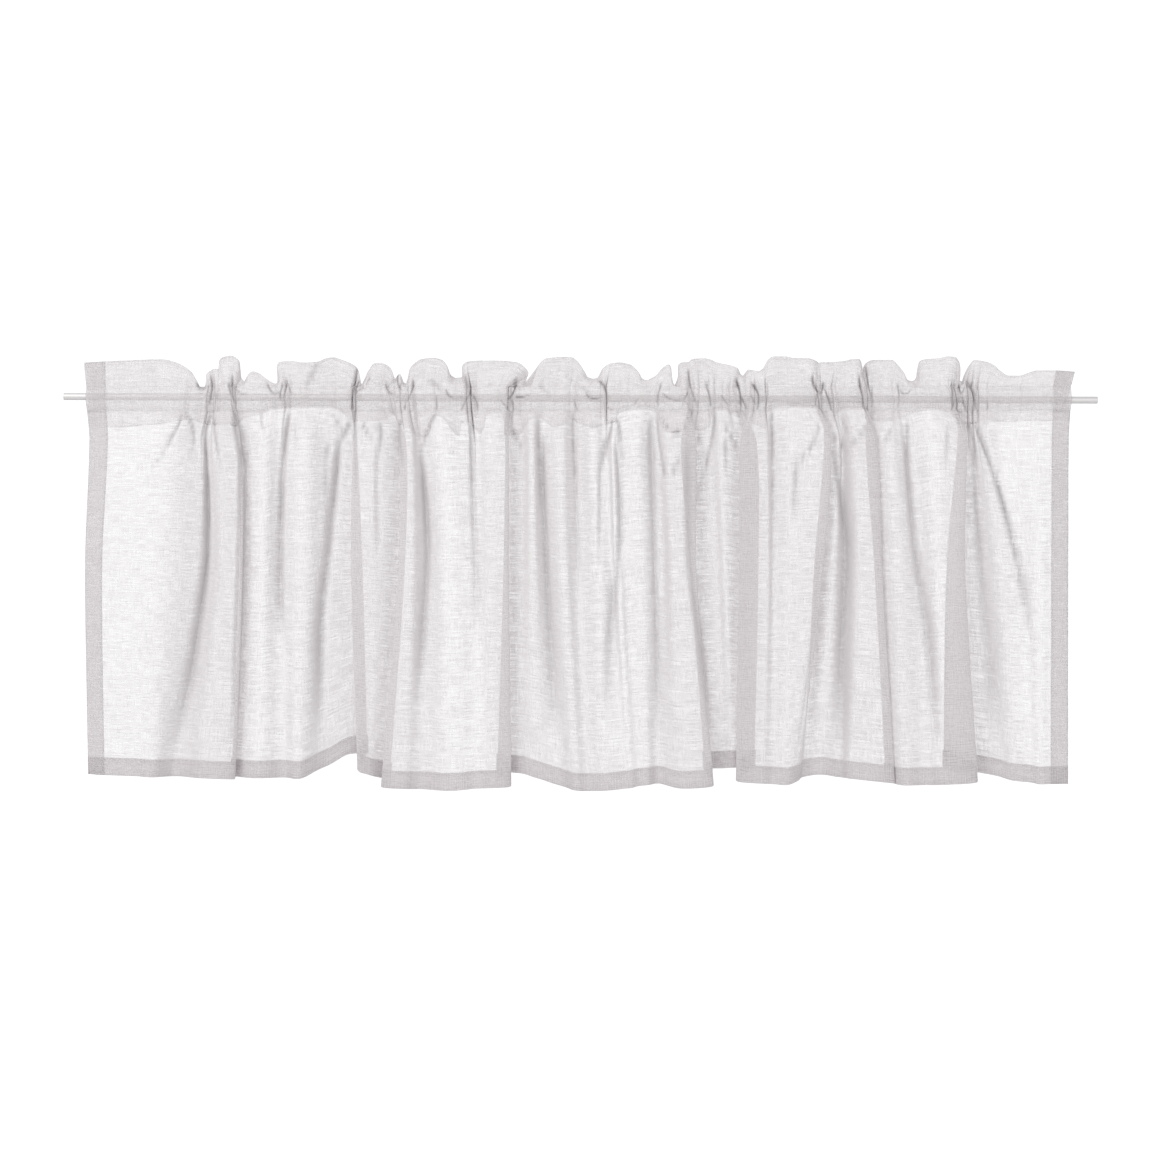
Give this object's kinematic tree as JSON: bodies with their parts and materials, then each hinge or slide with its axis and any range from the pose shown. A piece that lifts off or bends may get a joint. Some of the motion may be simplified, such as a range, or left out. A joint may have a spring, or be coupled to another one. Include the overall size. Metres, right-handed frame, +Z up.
{
  "type": "window valance on a curtain rod",
  "caption": "Short gathered window valance of sheer linen with a ruffled heading, hanging from a slim plain curtain rod through its sewn pocket.",
  "frame": {"origin": "on the rod's axis, at mid-length", "axes": "+X along the rod, to the right for someone in the room; +Y away from the room, towards the window; +Z up"},
  "size_m": [1.24, 0.0415, 0.5189],
  "materials": {
    "sheer_linen": "sheer off-white slub linen in a plain weave, darker where hems and folds double it",
    "pale_steel": "slim pale metal rod, satin, with plain cut ends"
  },
  "bodies": {
    "root": {"valance": "sheer_linen", "rod": "pale_steel"}
  },
  "joints": []
}
